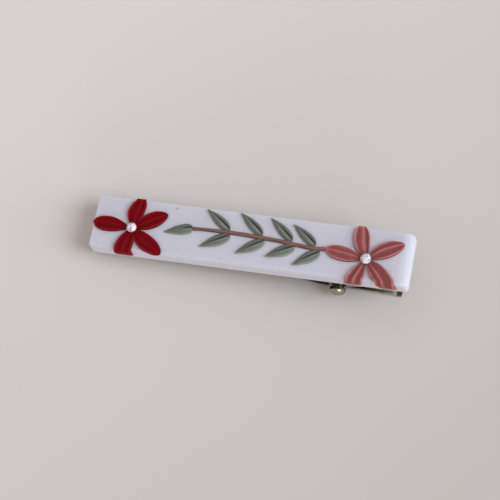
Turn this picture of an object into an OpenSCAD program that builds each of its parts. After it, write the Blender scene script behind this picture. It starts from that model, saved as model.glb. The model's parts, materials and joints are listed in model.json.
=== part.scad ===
// Flower hair clip: a clay bar with two flowers, a stem and leaves laid on its face,
// glued to the upper arm of a sprung steel pinch clip.
// Millimetres. X runs along the bar to the lever end, Y to its back edge, Z up.
// The origin lies under the middle of the bar, level with the lowest face of the lever.

/* [Clay bar] */
// Length of the bar
bar_len = 60; // [54:1:80]
// Width of the bar
bar_w = 10.4; // [9.8:0.1:14]
// Thickness of the bar
bar_t = 3; // [1.8:0.1:4]
// Corner radius of the bar's outline
corner_r = 0.8; // [0.4:0.1:2]
// Rounding of the face at the jaw's end of the bar
tip_r = 0.3; // [0.2:0.05:1.8]
// Rounding of the face at the lever's end of the bar
end_r = 1.3; // [0.2:0.05:1.8]
// Rounding of the face along the two long edges
edge_r = 0.4; // [0.2:0.05:0.6]

/* [Flowers] */
// Length of a petal from the middle of its flower
petal_len = 7.4; // [6:0.1:8]
// Widest part of a petal
petal_w = 3; // [2.4:0.1:3.2]
// Height of a petal's rims above the bar
petal_t = 0.9; // [0.6:0.1:1.2]
// How far a petal that crosses a long edge is pressed down the side of the bar
petal_wrap = 2.3; // [1:0.1:2.8]
// Middle of the red flower from its end of the bar
red_inset = 7.6; // [7.5:0.1:10]
// Middle of the rose flower from its end of the bar
rose_inset = 8.2; // [8:0.1:10]
// Middle of the red flower from the front edge of the bar
red_front = 4.5; // [4:0.05:5.5]
// Middle of the rose flower from the front edge of the bar
rose_front = 4.2; // [4:0.05:5.5]
// Diameter of a flower's stone
stone_d = 2; // [1.6:0.1:2.4]
// Height of a stone
stone_h = 0.9; // [0.6:0.1:1.2]

/* [Stem and leaves] */
// Tip of the stem from the middle of the red flower
stem_start = 11.5; // [11:0.1:13]
// Width of the stem
stem_w = 0.75; // [0.5:0.05:1]
// Height of the stem
stem_h = 0.5; // [0.3:0.05:0.8]
// Length of a leaf
leaf_len = 5.9; // [4.5:0.1:6.2]
// Widest part of a leaf
leaf_w = 2; // [1.6:0.1:2.4]
// Height of a leaf
leaf_t = 0.55; // [0.4:0.05:0.8]
// Space between a leaf and the stem
leaf_gap = 0.05; // [0.03:0.01:0.2]

/* [Clip arms] */
// Thickness of the glue between the bar and the upper arm
glue_t = 0.25; // [0.1:0.05:0.6]
// Thickness of the sheet steel
sheet_t = 0.6; // [0.4:0.05:0.8]
// Width of the upper arm
arm_w = 8.4; // [7.8:0.1:8.6]
// Width of the toothed jaw
jaw_w = 7.6; // [6.6:0.1:7.8]
// Width of the lever
lever_w = 7; // [6.6:0.1:8.6]
// Tip of the arms from the end of the bar
tip_inset = 3.6; // [2:0.1:6]
// End of the lever from the end of the bar
lever_inset = 2; // [1:0.1:4]
// Fall of the lever from the hinge to its end
lever_fall = 1.5; // [0.8:0.1:2]
// Part of that fall that its bent lip takes
lip_fall = 0.7; // [0.2:0.1:0.8]

/* [Jaw] */
// Depth inside the jaw at its tip
tip_depth = 1.5; // [1.2:0.1:2]
// Depth inside the jaw near the hinge
root_depth = 2.4; // [2:0.1:2.8]
// Space between the teeth and the upper arm when shut
bite_gap = 0.1; // [0.05:0.05:0.3]
// Spacing of the teeth
tooth_pitch = 1.6; // [1:0.1:2.5]
// Depth of the notches between the teeth
tooth_h = 0.8; // [0.4:0.1:1]

/* [Hinge] */
// Hinge pin from the lever end of the bar
pin_inset = 13.5; // [12:0.1:16]
// Hinge pin below the upper arm
pin_drop = 3.35; // [3:0.05:4]
// Diameter of the hinge pin
pin_d = 1.6; // [1.2:0.1:2]
// Running clearance of the pin in the lower ears
pin_fit = 0.05; // [0.03:0.01:0.1]
// Diameter of the collars between the upper ears and the pin's heads
collar_d = 2.2; // [1.9:0.1:2.6]
// Length of those collars
collar_h = 1.05; // [0.3:0.05:1.2]
// Diameter of the pin's domed heads
head_d = 3; // [2.6:0.1:3.4]
// Height of the pin's domed heads
head_h = 0.65; // [0.4:0.05:0.9]
// Width across the upper ears
hinge_w = 8.6; // [8.4:0.1:9.4]
// Radius of the ears round the pin
ear_r = 1.65; // [1.4:0.05:1.9]
// Clearance between the upper and lower ears
ear_gap = 0.1; // [0.05:0.05:0.2]

/* [Spring] */
// Diameter of the spring wire
wire_d = 0.55; // [0.4:0.05:0.7]
// Space between two turns of the spring
coil_gap = 0.5; // [0.45:0.05:0.6]
// Clearance between the spring and the pin
coil_fit = 0.2; // [0.15:0.05:0.3]
// Clearance between the spring and the arms
spring_gap = 0.12; // [0.08:0.02:0.3]
// Length of the spring's legs
leg_len = 7.5; // [5:0.1:9]

/* [Hidden] */
$fn = 64;
red = [0.45, 0.03, 0.06];
rose = [0.6, 0.27, 0.27];
leaf_green = [0.38, 0.44, 0.38];
stem_brown = [0.45, 0.28, 0.24];
bar_white = [0.86, 0.86, 0.9];
glue_clear = [0.85, 0.84, 0.78];
crystal = [0.93, 0.94, 1];
nickel = [0.66, 0.64, 0.6];
spring_steel = [0.5, 0.5, 0.5];

// Directions of the petals round each flower, and the length of each as a share of petal_len
red_turns = [85.5, 28.5, -35, -101, 176];
red_sizes = [0.865, 0.975, 1.07, 1, 0.99];
rose_turns = [107, 30, -43, -109, 171.5];
rose_sizes = [0.94, 1.014, 0.97, 1, 1.036];
// Where the leaves leave the stem, as shares of its length from the tip, and the directions they take
upper_stations = [0.272, 0.518, 0.745, 0.923];
upper_turns = [144, 141, 140, 141];
lower_stations = [0.291, 0.554, 0.783, 0.969];
lower_turns = [208, 210, 207, 212];
tip_turn = 195.5;
// Lengths and widths of some leaves as shares of leaf_len and leaf_w
tip_size = 0.925;
upper_width = 0.92;
lower_width = 1.05;
// Heights of the stem's two ends above the middles of their flowers, and of its slow wave
stem_tip_rise = 1.35;
stem_root_rise = 0.73;
stem_bow = 0.34;
stem_sway = 0.06;
// Last part of the stem, as a share of its length, that turns up to the petal, and how far it rises
hook_share = 0.08;
hook_rise = 0.15;

// Heights, from the lever's lowest face up to the face of the bar
wire_r = wire_d / 2;
pin_r = pin_d / 2;
coil_r = pin_r + coil_fit + wire_r;
hinge_floor = lever_fall + sheet_t;
pin_z = hinge_floor + 2 * spring_gap + wire_r + coil_r;
arm_under = pin_z + pin_drop;
arm_top = arm_under + sheet_t;
back_z = arm_top + glue_t;
face_z = back_z + bar_t;
bite_z = arm_under - bite_gap;
// Places along the bar
pin_x = bar_len / 2 - pin_inset;
tip_x = -bar_len / 2 + tip_inset;
lever_x = bar_len / 2 - lever_inset;
red_mid = [red_inset - bar_len / 2, red_front - bar_w / 2];
rose_mid = [bar_len / 2 - rose_inset, rose_front - bar_w / 2];
// Ears: the lower pair turns just inside the upper pair
upper_ear = hinge_w / 2;
lower_ear = upper_ear - sheet_t - ear_gap;
strip_half = max(lower_ear, jaw_w / 2, lever_w / 2);
ear_step = 0.1;
lower_ear_r = ear_r - ear_step;
fin_len = 7.6;
// Lengths of the bends and shoulders of the lower arm
jaw_reach = 8;
lip_len = 2;
shoulder = 2;
tip_rise = 1.6;
arm_corner = 1.6;
lever_corner = 0.5;
bend_reach = 0.9;
bend_steps = 4;
// Flat land on top of a tooth, as a share of its spacing
tooth_land = 0.2;
// Clearances of the clay pieces and the stones on what carries them
clay_seat = 0.03;
stone_seat = 0.03;
// Skin that is left of a petal at the foot of the bar's side, and the least of the side that stays bare
smear_t = 0.12;
side_left = 0.15;
fall_depth = min(petal_wrap, bar_t - side_left);

function unit(v) = v / norm(v);
function clamp01(v) = min(1, max(0, v));
function smooth(v) = let (c = clamp01(v)) c * c * (3 - 2 * c);
function turned(a) = [cos(a), sin(a)];

// Triangles that skin a row of rings, each with m points in the same order
function loft_faces(n, m) = concat(
    [for (k = [1:m - 2]) [0, k + 1, k]],
    [for (k = [1:m - 2]) [(n - 1) * m, (n - 1) * m + k, (n - 1) * m + k + 1]],
    [for (i = [0:n - 2], k = [0:m - 1]) [i * m + k, i * m + (k + 1) % m, (i + 1) * m + k]],
    [for (i = [0:n - 2], k = [0:m - 1])
        [i * m + (k + 1) % m, (i + 1) * m + (k + 1) % m, (i + 1) * m + k]]
);

module loft(rings) {
    polyhedron(
        points = [for (r = rings) each r],
        faces = loft_faces(len(rings), len(rings[0])),
        convexity = 4
    );
}

// What a square corner loses when it is rounded off, with room beyond the corner
module corner_waste(r) {
    difference() {
        square(2 * r);
        circle(r);
    }
}

// Extrudes a side view, drawn in X and Z, between two places along Y
module side_extrude(y0, y1) {
    translate([0, y1, 0])
        rotate([90, 0, 0])
            linear_extrude(y1 - y0) children();
}

module both_sides() {
    children();
    mirror([0, 1, 0]) children();
}

// Clay bar: outline, side view and end view cut from one block
module bar_outline() {
    difference() {
        square([bar_len, bar_w], center = true);
        for (sx = [0, 1], sy = [0, 1])
            mirror([sx, 0]) mirror([0, sy])
                translate([bar_len / 2 - corner_r, bar_w / 2 - corner_r]) corner_waste(corner_r);
    }
}

module bar_profile(width, low_r, high_r) {
    radii = [high_r, low_r];
    difference() {
        translate([-width / 2, back_z]) square([width, bar_t]);
        for (s = [0, 1])
            mirror([s, 0])
                translate([width / 2 - radii[s], face_z - radii[s]]) corner_waste(radii[s]);
    }
}

module clay_bar() {
    color(bar_white)
        intersection() {
            side_extrude(-bar_w / 2, bar_w / 2) bar_profile(bar_len, tip_r, end_r);
            translate([0, 0, back_z]) linear_extrude(bar_t) bar_outline();
            translate([-bar_len, 0, 0])
                rotate([90, 0, 90])
                    linear_extrude(2 * bar_len) bar_profile(bar_w, edge_r, edge_r);
        }
}

// Fall of the bar's face towards its rounded ends
function end_fall(x) =
    let (r = x < 0 ? tip_r : end_r)
    let (past = max(0, abs(x) - (bar_len / 2 - r)))
    r - sqrt(max(0, r * r - past * past));

// Half widths along a petal and a leaf, from base to tip, where 1 is the widest
function swell(t, base_power, tip_power) =
    let (widest = base_power / (base_power + tip_power))
    pow(t / widest, base_power) * pow((1 - t) / (1 - widest), tip_power);
function petal_swell(t) = swell(t, 0.85, 0.6);
function leaf_swell(t) = swell(t, 0.7, 1.1);
// Heights across a petal: raised rims, two valleys and a ridge along the middle
petal_half = [[1, 0], [0.97, 0.6], [0.85, 1], [0.5, 0.55], [0.2, 0.7]];
petal_section = concat(
    [for (p = petal_half) [-p[0], p[1]]],
    [[0, 0.85]],
    [for (i = [len(petal_half) - 1:-1:0]) petal_half[i]]
);
// Heights across a leaf: two full lobes and a crease along the middle
leaf_half = [[1, 0], [0.93, 0.55], [0.55, 1], [0.2, 0.85]];
leaf_section = concat(
    [for (p = leaf_half) [-p[0], p[1]]],
    [[0, 0.4]],
    [for (i = [len(leaf_half) - 1:-1:0]) leaf_half[i]]
);
// Stations along a petal or leaf, closer together at its two blunt ends, and along one that is trimmed
blunt = 0.008;
function stations(n) = [for (i = [0:n]) blunt + (1 - 2 * blunt) * (1 - cos(180 * i / n)) / 2];
function part_stations(n) = [for (i = [0:n - 1]) blunt + (1 - blunt) * (1 - cos(90 * i / n))];
// A petal turned down the side: shares of the depth, of the petal's width and of its relief,
// and the share of the relief that it keeps in both directions where it turns
fall_shape = [[0.15, 1, 0.55], [0.5, 0.98, 0.5], [0.8, 0.96, 0.4], [1, 0.9, 0]];
mitre_share = 0.6;

petal_base = 0.4;
petal_steps = 16;
leaf_steps = 12;
// Shares of the height: at a petal's pressed base, at its tip, and at a leaf's two ends
seat_share = 0.42;
tip_share = 0.65;
leaf_end_share = 0.6;
// Shares of the length: where the pressed base ends, and how far the base and the tip take to change
seat_end = 0.09;
rise_run = 0.3;
// A petal that ends this close to a long edge is left whole
trim_limit = 0.97;

// A petal lies on the face of the bar and dips with it at the bar's ends. Where it crosses a long edge
// it turns down the side with its rims and ridge, and is pressed flat at the foot of the side.
function petal_rise(t) =
    petal_t
    * (1 - (1 - tip_share) * smooth((t - 1) / rise_run + 1))
    * (seat_share + (1 - seat_share) * smooth((t - seat_end) / rise_run));

module petal(mid, turn, size, tint) {
    run = petal_len * size - petal_base;
    ahead = turned(turn);
    side = sin(turn) > 0 ? 1 : -1;
    trim_t = ((bar_w / 2 - side * mid[1]) / abs(sin(turn)) - petal_base) / run;
    trimmed = trim_t < trim_limit;
    square_across = turned(turn + 90);
    trim_across = [-1 / sin(turn), 0];
    face_stations = trimmed ? trim_t * part_stations(petal_steps) : stations(petal_steps);
    trim_mid = mid + ahead * (petal_base + trim_t * run);
    trim_half = petal_w / 2 * petal_swell(trim_t);
    face_rings = [
        for (t = face_stations)
            let (half = petal_w / 2 * petal_swell(t))
            let (skew = trimmed ? smooth(t / trim_t) : 0)
            let (across = (1 - skew) * square_across + skew * trim_across)
            [
                for (s = petal_section)
                    let (p = mid + ahead * (petal_base + t * run) + across * (half * s[0]))
                    [p[0], p[1], face_z + clay_seat - end_fall(p[0]) + petal_rise(t) * s[1]]
            ]
    ];
    fall_rise = petal_rise(trim_t);
    edge_ring = [
        for (s = petal_section)
            let (out = clay_seat + fall_rise * mitre_share * s[1])
            [
                trim_mid[0] + trim_across[0] * trim_half * s[0],
                side * (bar_w / 2 + out),
                face_z + out
            ]
    ];
    side_rings = [
        for (f = fall_shape)
            [
                for (s = petal_section)
                    let (out = s[1] > 0 ? smear_t + fall_rise * f[2] * s[1] : 0)
                    [
                        trim_mid[0] + trim_across[0] * trim_half * f[1] * s[0],
                        side * (bar_w / 2 + clay_seat + out),
                        face_z - fall_depth * f[0]
                    ]
            ]
    ];
    color(tint) loft(trimmed ? concat(face_rings, [edge_ring], side_rings) : face_rings);
}

module leaf(base, turn, size, width, tint) {
    ahead = turned(turn);
    across = turned(turn + 90);
    color(tint)
        loft([
            for (t = stations(leaf_steps))
                let (half = leaf_w * width / 2 * leaf_swell(t))
                let (tall = leaf_t * (leaf_end_share + (1 - leaf_end_share) * sin(180 * t)))
                [
                    for (s = leaf_section)
                        let (p = base + ahead * (t * leaf_len * size) + across * (half * s[0]))
                        [p[0], p[1], face_z + clay_seat + tall * s[1]]
                ]
        ]);
}

// Stem: half round, on a slow wave from the tip leaf to the tip of the last rose petal
rose_tip = rose_mid + turned(rose_turns[4]) * petal_len * rose_sizes[4];
stem_tip = red_mid + [stem_start, stem_tip_rise];
stem_root = [rose_tip[0] - leaf_gap, rose_mid[1] + stem_root_rise];
stem_sides = 6;
stem_steps = 40;

function on_stem(u) =
    stem_tip + u * (stem_root - stem_tip)
    + [0, stem_bow * sin(180 * u) + stem_sway * sin(360 * u) + hook_rise * smooth((u - 1) / hook_share + 1)];

module stem() {
    color(stem_brown)
        loft([
            for (i = [0:stem_steps])
                let (p = on_stem(i / stem_steps))
                [
                    for (k = [0:stem_sides])
                        let (a = 180 * k / stem_sides)
                        [p[0], p[1] - stem_w / 2 * cos(a), face_z + clay_seat + stem_h * sin(a)]
                ]
        ]);
}

// Leaves stand on the stem's two sides, and one lies ahead of its tip. A leaf swells towards the stem
// by a share of its width, more so on the lower side, where it leaves the stem at a flatter angle.
upper_swell = 0.06;
lower_swell = 0.18;

function beside_stem(station, side, swell_share) =
    on_stem(station) + [0, side * (stem_w / 2 + leaf_gap + leaf_w * swell_share)];

module tip_leaf() {
    leaf(stem_tip - [leaf_gap, 0], tip_turn, tip_size, 1, leaf_green);
}

module upper_leaf(i) {
    leaf(beside_stem(upper_stations[i], 1, upper_swell), upper_turns[i], 1, upper_width, leaf_green);
}

module lower_leaf(i) {
    leaf(beside_stem(lower_stations[i], -1, lower_swell), lower_turns[i], 1, lower_width, leaf_green);
}

module red_petal(i) {
    petal(red_mid, red_turns[i], red_sizes[i], red);
}

module rose_petal(i) {
    petal(rose_mid, rose_turns[i], rose_sizes[i], rose);
}

// Stone: flat back, thin girdle and a crown of eight facets, on the pressed bases of the petals
girdle_share = 0.3;
table_share = 0.5;

module stone(mid) {
    seat_z = face_z + clay_seat + stone_seat + petal_t * seat_share;
    color(crystal)
        translate([mid[0], mid[1], seat_z]) {
            cylinder(d = stone_d, h = stone_h * girdle_share);
            translate([0, 0, stone_h * girdle_share])
                cylinder(
                    d1 = stone_d,
                    d2 = stone_d * table_share,
                    h = stone_h * (1 - girdle_share),
                    $fn = 8
                );
        }
}

// Glue: a thin film between the bar and the upper arm, a little smaller than the arm
glue_inset = 0.4;

module glue_film() {
    length = lever_x - tip_x - 2 * glue_inset;
    width = arm_w - 2 * glue_inset;
    color(glue_clear)
        translate([(lever_x + tip_x) / 2, 0, arm_top])
            linear_extrude(glue_t)
                difference() {
                    square([length, width], center = true);
                    for (sx = [0, 1], sy = [0, 1])
                        mirror([sx, 0]) mirror([0, sy])
                            translate([length / 2 - arm_corner, width / 2 - arm_corner])
                                corner_waste(arm_corner);
                }
}

// Outline of a stamped arm: one width to the hinge, another at the ears, a third beyond them
module arm_outline(tip_w, mid_w, end_w, mid_x0, mid_x1, end_corner) {
    difference() {
        polygon([
            for (s = [1, -1])
                let (row = [
                    [tip_x, tip_w / 2],
                    [mid_x0 - shoulder, tip_w / 2],
                    [mid_x0, mid_w / 2],
                    [mid_x1, mid_w / 2],
                    [mid_x1 + shoulder, end_w / 2],
                    [lever_x, end_w / 2]
                ])
                let (last = len(row) - 1)
                for (i = [0:last]) let (p = row[s > 0 ? i : last - i]) [p[0], s * p[1]]
        ]);
        for (s = [0, 1]) mirror([0, s]) {
            translate([lever_x - end_corner, end_w / 2 - end_corner]) corner_waste(end_corner);
            translate([tip_x + arm_corner, tip_w / 2 - arm_corner])
                mirror([1, 0]) corner_waste(arm_corner);
        }
    }
}

// Upper arm: a flat strip whose two outer ears are folded down to the pin
module upper_ear_profile() {
    translate([pin_x, pin_z]) circle(ear_r);
    polygon([
        [pin_x - ear_r, pin_z],
        [pin_x - ear_r, arm_top],
        [pin_x + fin_len, arm_top],
        [pin_x + fin_len, arm_under],
        [pin_x + ear_r, pin_z]
    ]);
}

module fold_profile() {
    difference() {
        translate([-upper_ear, 0]) square([2 * upper_ear, arm_top]);
        for (s = [0, 1])
            mirror([s, 0]) translate([upper_ear - sheet_t, arm_top - sheet_t]) corner_waste(sheet_t);
    }
}

module top_arm() {
    color(nickel)
        difference() {
            intersection() {
                union() {
                    translate([0, 0, arm_under])
                        linear_extrude(sheet_t)
                            arm_outline(arm_w, hinge_w, arm_w, pin_x - ear_r, pin_x + fin_len, arm_corner);
                    both_sides() side_extrude(upper_ear - sheet_t, upper_ear) upper_ear_profile();
                }
                translate([-bar_len, 0, 0])
                    rotate([90, 0, 90])
                        linear_extrude(2 * bar_len) fold_profile();
            }
            translate([pin_x, 0, pin_z])
                rotate([90, 0, 0]) cylinder(d = pin_d, h = 2 * hinge_w, center = true);
        }
}

// Pin: riveted in the upper ears, with a collar and a domed head outside each
module pin_half() {
    dome_r = (head_d * head_d / 4 + head_h * head_h) / (2 * head_h);
    square([pin_r, upper_ear + collar_h]);
    translate([0, upper_ear]) square([collar_d / 2, collar_h]);
    translate([0, upper_ear + collar_h])
        intersection() {
            square([head_d / 2, head_h]);
            translate([0, head_h - dome_r]) circle(dome_r);
        }
}

module hinge_pin() {
    color(nickel)
        translate([pin_x, 0, pin_z])
            both_sides() rotate([-90, 0, 0]) rotate_extrude() pin_half();
}

// Lower arm: one strip bent into jaw, hinge floor and lever, with toothed sides and inner ears
jaw_floor = [
    [tip_x + tip_rise, arm_under - tip_depth - sheet_t / 2],
    [pin_x - jaw_reach, arm_under - root_depth - sheet_t / 2]
];
lip_z = sheet_t / 2 * cos(atan(lip_fall / lip_len));
strip_path = [
    [tip_x + sheet_t / 2, bite_z - sheet_t / 2],
    jaw_floor[0],
    jaw_floor[1],
    [pin_x - ear_r, hinge_floor - sheet_t / 2],
    [pin_x + ear_r, hinge_floor - sheet_t / 2],
    [lever_x - lip_len, lip_fall + lip_z],
    [lever_x, lip_z]
];

// Rounds each corner of a path with a short curve
function bend(p, q, r, reach) =
    let (a = q + unit(p - q) * min(reach, norm(p - q) / 2))
    let (b = q + unit(r - q) * min(reach, norm(r - q) / 2))
    [
        for (i = [0:bend_steps])
            let (u = i / bend_steps)
            (1 - u) * (1 - u) * a + 2 * u * (1 - u) * q + u * u * b
    ];

function bent_path(path) = concat(
    [path[0]],
    [for (i = [1:len(path) - 2]) each bend(path[i - 1], path[i], path[i + 1], bend_reach)],
    [path[len(path) - 1]]
);

// Upward normal of a path at one of its points, longer at a corner so that the strip keeps its thickness
function path_normal(path, i) =
    let (a = unit(path[max(i, 1)] - path[max(i, 1) - 1]))
    let (b = unit(path[min(i, len(path) - 2) + 1] - path[min(i, len(path) - 2)]))
    let (m = unit(a + b))
    [-m[1], m[0]] / (m * a);

module strip_profile() {
    path = bent_path(strip_path);
    last = len(path) - 1;
    polygon(concat(
        [for (i = [0:last]) path[i] + path_normal(path, i) * sheet_t / 2],
        [for (i = [last:-1:0]) path[i] - path_normal(path, i) * sheet_t / 2]
    ));
}

module jaw_side_profile() {
    start = jaw_floor[0];
    stop = jaw_floor[1];
    count = floor((stop[0] - start[0]) / tooth_pitch);
    root = bite_z - tooth_h;
    polygon(concat(
        [[start[0], start[1]]],
        [
            for (i = [0:count - 1])
                let (x = start[0] + i * tooth_pitch)
                each [
                    [x, root],
                    [x + tooth_pitch * (1 - tooth_land) / 2, bite_z],
                    [x + tooth_pitch * (1 + tooth_land) / 2, bite_z]
                ]
        ],
        [[start[0] + count * tooth_pitch, root], [stop[0], stop[1]]]
    ));
}

module lower_ear_profile() {
    translate([pin_x, pin_z]) circle(lower_ear_r);
    polygon([
        [pin_x - lower_ear_r, pin_z],
        [pin_x - ear_r, hinge_floor - sheet_t / 2],
        [pin_x + ear_r, hinge_floor - sheet_t / 2],
        [pin_x + lower_ear_r, pin_z]
    ]);
}

module lower_arm() {
    color(nickel)
        difference() {
            union() {
                intersection() {
                    side_extrude(-strip_half, strip_half) strip_profile();
                    linear_extrude(arm_top)
                        arm_outline(
                            jaw_w, 2 * lower_ear, lever_w, pin_x - ear_r, pin_x + ear_r, lever_corner
                        );
                }
                both_sides() side_extrude(jaw_w / 2 - sheet_t, jaw_w / 2) jaw_side_profile();
                both_sides() side_extrude(lower_ear - sheet_t, lower_ear) lower_ear_profile();
            }
            translate([pin_x, 0, pin_z])
                rotate([90, 0, 0])
                    cylinder(d = pin_d + 2 * pin_fit, h = 2 * hinge_w, center = true);
        }
}

// Spring: one wire, wound round the pin, with a leg against the lever and one against the upper arm
coil_turns = 5;
rings_per_turn = 8;
wire_sides = 6;
// Share of the lever's fall that the lower leg follows
leg_follow = 0.24;
lower_slope = asin((leg_follow * lever_fall - spring_gap) / leg_len);
upper_slope = asin((pin_drop - coil_r - wire_r - spring_gap) / leg_len);
first_turn = -90 - lower_slope;
last_turn = 90 + upper_slope - 360 * coil_turns;
coil_steps = ceil((first_turn - last_turn) * rings_per_turn / 360);
coil_len = (first_turn - last_turn) / 360 * (wire_d + coil_gap);

function coil_out(a) = [cos(a), 0, sin(a)];
coil_path = [
    for (i = [0:coil_steps])
        let (a = first_turn + (last_turn - first_turn) * i / coil_steps)
        [pin_x, coil_len * (i / coil_steps - 0.5), pin_z] + coil_r * coil_out(a)
];
lower_leg = coil_path[0] + leg_len * [cos(lower_slope), 0, -sin(lower_slope)];
upper_leg = coil_path[coil_steps] + leg_len * [cos(upper_slope), 0, sin(upper_slope)];
wire_path = concat([lower_leg], coil_path, [upper_leg]);
wire_turns = concat(
    [first_turn],
    [for (i = [0:coil_steps]) first_turn + (last_turn - first_turn) * i / coil_steps],
    [last_turn]
);

// Least space between any two turns of the wire
least_gap = min([
    for (i = [0:coil_steps], j = [i + rings_per_turn / 2:1:coil_steps])
        norm(coil_path[i] - coil_path[j]) - wire_d
]);

module spring() {
    echo(spring_least_gap = least_gap);
    color(spring_steel)
        loft([
            for (i = [0:len(wire_path) - 1])
                [
                    for (k = [0:wire_sides - 1])
                        let (a = 360 * k / wire_sides)
                        wire_path[i] + wire_r * (cos(a) * coil_out(wire_turns[i]) + sin(a) * [0, 1, 0])
                ]
        ]);
}

clay_bar();
glue_film();
top_arm();
hinge_pin();
lower_arm();
spring();
stem();
tip_leaf();
for (i = [0:3]) {
    upper_leaf(i);
    lower_leaf(i);
}
for (i = [0:4]) {
    red_petal(i);
    rose_petal(i);
}
stone(red_mid);  // red_stone
stone(rose_mid);  // rose_stone
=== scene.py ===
import json
import math
import random

import bmesh
import bpy
from mathutils import Matrix, Vector, noise


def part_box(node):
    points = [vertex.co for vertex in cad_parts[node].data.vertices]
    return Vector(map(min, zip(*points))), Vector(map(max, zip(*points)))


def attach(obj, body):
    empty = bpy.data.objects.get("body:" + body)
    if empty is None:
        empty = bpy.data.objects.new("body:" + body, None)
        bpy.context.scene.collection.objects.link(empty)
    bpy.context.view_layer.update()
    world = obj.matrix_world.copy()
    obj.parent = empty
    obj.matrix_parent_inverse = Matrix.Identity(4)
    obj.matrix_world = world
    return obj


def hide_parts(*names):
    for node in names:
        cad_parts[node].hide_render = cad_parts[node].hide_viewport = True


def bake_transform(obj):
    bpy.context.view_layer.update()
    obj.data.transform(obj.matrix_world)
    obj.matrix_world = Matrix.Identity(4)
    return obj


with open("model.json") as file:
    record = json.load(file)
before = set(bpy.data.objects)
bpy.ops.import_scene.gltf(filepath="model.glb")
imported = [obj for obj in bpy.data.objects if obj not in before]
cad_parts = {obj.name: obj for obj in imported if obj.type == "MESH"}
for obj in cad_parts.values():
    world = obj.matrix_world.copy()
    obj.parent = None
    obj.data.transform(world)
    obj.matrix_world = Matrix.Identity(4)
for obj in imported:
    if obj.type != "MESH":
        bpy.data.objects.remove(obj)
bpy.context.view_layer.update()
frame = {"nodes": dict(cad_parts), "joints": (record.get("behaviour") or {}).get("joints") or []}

# Pieces are shaped in millimetres in the part's own frame, then brought to metres
mm = 0.001
upperBody = "upper_half"
lowerBody = "lower_half"
# How near two points count as one: in a cut, in a merged mesh and in a closed skin
cutSnap = 0.0005
weldGap = 0.001
skinGap = 0.002


def nodeBox(node):
    low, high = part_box(node)
    return low / mm, high / mm


def nodeMiddle(node):
    low, high = nodeBox(node)
    return (low + high) / 2


def clampUnit(value):
    return min(1.0, max(0.0, value))


def smooth(value):
    c = clampUnit(value)
    return c * c * (3 - 2 * c)


def mix(a, b, share):
    return a + (b - a) * share


def hump(offset, reach):
    return math.exp(-(offset / reach) ** 2)


def between(stations, place):
    for (a, low), (b, high) in zip(stations, stations[1:]):
        if place <= b:
            return mix(low, high, smooth((place - a) / (b - a)))
    return stations[-1][1]


def turned(degrees):
    return Vector((math.cos(math.radians(degrees)), math.sin(math.radians(degrees)), 0))


barLow, barHigh = nodeBox("clay_bar")
faceZ = barHigh.z
halfLength = barHigh.x
halfWidth = barHigh.y
redMiddle = nodeMiddle("red_stone")
roseMiddle = nodeMiddle("rose_stone")
pinMiddle = Vector(frame["joints"][0]["pos_m"]) / mm
print("frame loaded, bar", [round(v, 2) for v in barHigh - barLow])


# Node helpers

def addNode(tree, kind, **inputs):
    node = tree.nodes.new(kind)
    for name, value in inputs.items():
        node.inputs[name.replace("_", " ")].default_value = value
    return node


def join(tree, output, target):
    tree.links.new(output, target)


def mathNode(tree, operation, first, second=None):
    node = tree.nodes.new("ShaderNodeMath")
    node.operation = operation
    for socket, value in zip(node.inputs, (first, second)):
        if isinstance(value, (int, float)):
            socket.default_value = value
        elif value is not None:
            join(tree, value, socket)
    return node.outputs[0]


# A value that runs from nil to one, made to swing either way about nil
def swing(tree, value, share):
    return mathNode(tree, "MULTIPLY", mathNode(tree, "SUBTRACT", value, 0.5), share)


def mixColour(tree, share, first, second):
    node = tree.nodes.new("ShaderNodeMix")
    node.data_type = "RGBA"
    sockets = (node.inputs[0], node.inputs[6], node.inputs[7])  # the share and the two colours
    for socket, value in zip(sockets, (share, first, second)):
        if isinstance(value, tuple):
            socket.default_value = (*value, 1)
        elif isinstance(value, (int, float)):
            socket.default_value = value
        else:
            join(tree, value, socket)
    return node.outputs[2]  # the mixed colour


def remap(tree, value, low, high):
    node = addNode(tree, "ShaderNodeMapRange", To_Min=low, To_Max=high)
    join(tree, value, node.inputs["Value"])
    return node.outputs["Result"]


def attribute(tree, name):
    node = tree.nodes.new("ShaderNodeAttribute")
    node.attribute_name = name
    return node.outputs["Fac"]


def scaledCoords(tree, scale):
    place = tree.nodes.new("ShaderNodeTexCoord")
    times = tree.nodes.new("ShaderNodeVectorMath")
    times.operation = "SCALE"
    join(tree, place.outputs["Object"], times.inputs[0])
    if isinstance(scale, (int, float)):
        times.inputs["Scale"].default_value = scale
    else:
        join(tree, scale, times.inputs["Scale"])
    return times.outputs[0]


# Object coordinates measured against a fixed point or direction
def coordsAgainst(tree, operation, vector):
    place = tree.nodes.new("ShaderNodeTexCoord")
    node = tree.nodes.new("ShaderNodeVectorMath")
    node.operation = operation
    join(tree, place.outputs["Object"], node.inputs[0])
    node.inputs[1].default_value = vector
    return node.outputs["Value"]


def noiseValue(tree, coords, detail, roughness):
    node = addNode(tree, "ShaderNodeTexNoise", Scale=1.0, Detail=detail, Roughness=roughness)
    join(tree, coords, node.inputs["Vector"])
    return node.outputs["Fac"]


def newGroup(name, inputs, outputs):
    group = bpy.data.node_groups.new(name, "ShaderNodeTree")
    for way, labels in (("INPUT", inputs), ("OUTPUT", outputs)):
        for label in labels:
            group.interface.new_socket(label, in_out=way, socket_type="NodeSocketFloat")
    return group, group.nodes.new("NodeGroupInput"), group.nodes.new("NodeGroupOutput")


def useGroup(tree, group, **inputs):
    node = tree.nodes.new("ShaderNodeGroup")
    node.node_tree = group
    for name, value in inputs.items():
        socket = node.inputs[name]
        if isinstance(value, (int, float)):
            socket.default_value = value
        else:
            join(tree, value, socket)
    return node


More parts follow.
